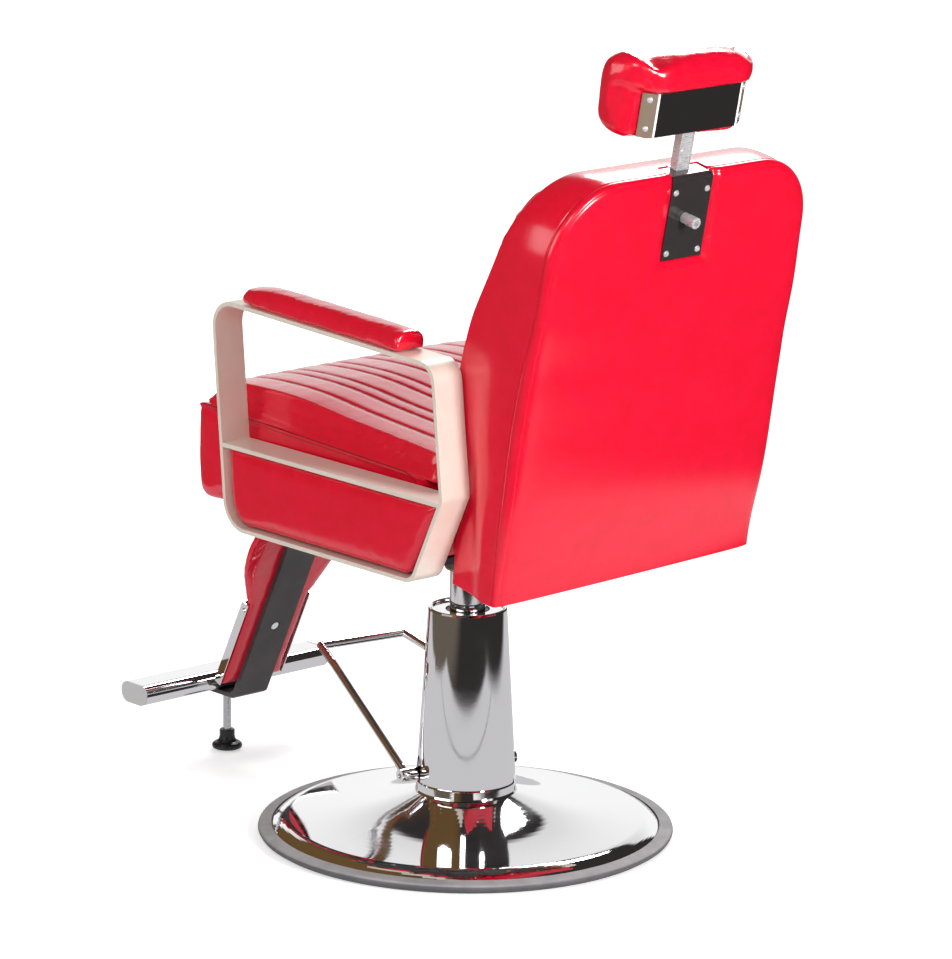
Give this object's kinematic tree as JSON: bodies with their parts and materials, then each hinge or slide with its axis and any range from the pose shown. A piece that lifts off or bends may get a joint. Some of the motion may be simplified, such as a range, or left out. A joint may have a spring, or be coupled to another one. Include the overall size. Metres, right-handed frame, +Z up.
{
  "type": "hydraulic barber chair",
  "caption": "Barber chair with round chrome base, foot pump, padded channelled seat and back, loop arms, legrest with footrest bar and adjustable headrest.",
  "frame": {"origin": "on the floor under the middle of the round base, on the column's axis", "axes": "+Z up; the sitter faces -Y, so +X is the sitter's left and +Y is behind the back"},
  "size_m": [0.6019, 1.0557, 1.2132],
  "materials": {
    "chrome_plate": "polished",
    "champagne_frame": "satin",
    "cherry_leather": "gloss",
    "grey_rubber": "matte",
    "black_rubber": "satin",
    "charcoal_paint": "satin",
    "gloss_black": "gloss",
    "cast_pump": "satin",
    "ground_steel": "satin",
    "bronze": "satin",
    "plywood": "satin",
    "grey_cap": "satin"
  },
  "bodies": {
    "base": {"base_shell": "chrome_plate", "base_trim": "grey_rubber", "ballast_plate": "cast_pump", "column_collar": "chrome_plate", "pump_cover": "chrome_plate", "pump_body": "cast_pump", "pump_bolts": "ground_steel", "reservoir_tube": "cast_pump", "cylinder_tube": "ground_steel", "gland_nut": "cast_pump", "wiper_seal": "black_rubber", "plunger_spring": "ground_steel"},
    "pedal": {"pedal_shaft": "chrome_plate", "pedal_bar": "chrome_plate", "pump_crank": "cast_pump", "pedal_grub_screws": "ground_steel"},
    "plunger": {"pump_plunger": "ground_steel"},
    "lift": {"ram": "chrome_plate", "piston_seal": "black_rubber", "swivel_washer": "bronze"},
    "seat": {"swivel_hub": "charcoal_paint", "hub_bolts": "ground_steel", "seat_pan": "charcoal_paint", "seat_box": "cherry_leather", "seat_cushion": "cherry_leather", "arm_loop_left": "champagne_frame", "arm_loop_right": "champagne_frame", "arm_rail_left": "champagne_frame", "arm_rail_right": "champagne_frame", "side_board_left": "plywood", "side_board_right": "plywood", "side_panel_left": "cherry_leather", "side_panel_right": "cherry_leather", "arm_pad_left": "cherry_leather", "arm_pad_right": "cherry_leather", "arm_pad_screws": "ground_steel", "legrest_channel": "charcoal_paint", "channel_screws": "ground_steel", "legrest_pad": "cherry_leather", "kick_plate": "chrome_plate", "kick_screws": "ground_steel", "footrest_bar": "chrome_plate", "footrest_caps": "grey_cap", "foot_lock_nut": "ground_steel", "hinge_brackets": "charcoal_paint", "hinge_pins": "ground_steel"},
    "foot": {"foot_stem": "ground_steel", "foot_pad": "black_rubber"},
    "back": {"back_shell": "cherry_leather", "back_cushion": "cherry_leather", "back_irons": "charcoal_paint", "back_plate": "gloss_black", "back_plate_screws": "ground_steel", "post_socket": "charcoal_paint"},
    "knob": {"index_knob": "ground_steel", "index_pin": "ground_steel"},
    "headrest": {"headrest_post": "ground_steel", "headrest_plate": "chrome_plate", "headrest_pad": "cherry_leather"}
  },
  "joints": [
    {"name": "pedal_press", "type": "hinge", "parent": "base", "child": "pedal", "pos_m": [-0.00375, -0.02371, 0.093], "axis": [0.9877, -0.1564, 0], "range_deg": [0, 28], "stiffness_Nm_per_rad": 6, "springref_deg": -20.05},
    {"name": "plunger_slide", "type": "slide", "parent": "base", "child": "plunger", "axis": [0, 0, -1], "range_m": [0, 0.008], "deforming": ["plunger_spring"]},
    {"name": "seat_lift", "type": "slide", "parent": "base", "child": "lift", "axis": [0, 0, 1], "range_m": [0, 0.15]},
    {"name": "seat_swivel", "type": "hinge", "parent": "lift", "child": "seat", "pos_m": [0, 0, 0.44], "axis": [0, 0, 1], "continuous": true},
    {"name": "foot_adjust", "type": "slide", "parent": "seat", "child": "foot", "axis": [0, 0, 1], "range_m": [0, 0.02]},
    {"name": "back_recline", "type": "hinge", "parent": "seat", "child": "back", "pos_m": [0, 0.205, 0.5], "axis": [-1, 0, 0], "range_deg": [0, 35]},
    {"name": "knob_pull", "type": "slide", "parent": "back", "child": "knob", "axis": [0, 0.9799, -0.1994], "range_m": [0, 0.006], "stiffness_N_per_m": 1500, "springref_m": -0.006},
    {"name": "headrest_height", "type": "slide", "parent": "back", "child": "headrest", "axis": [0, 0.1994, 0.9799], "range_m": [-0.03, 0.06]}
  ],
  "couplings": [
    {"joint": "plunger_slide", "follows": "pedal_press", "m_per_rad": 0.0145}
  ]
}
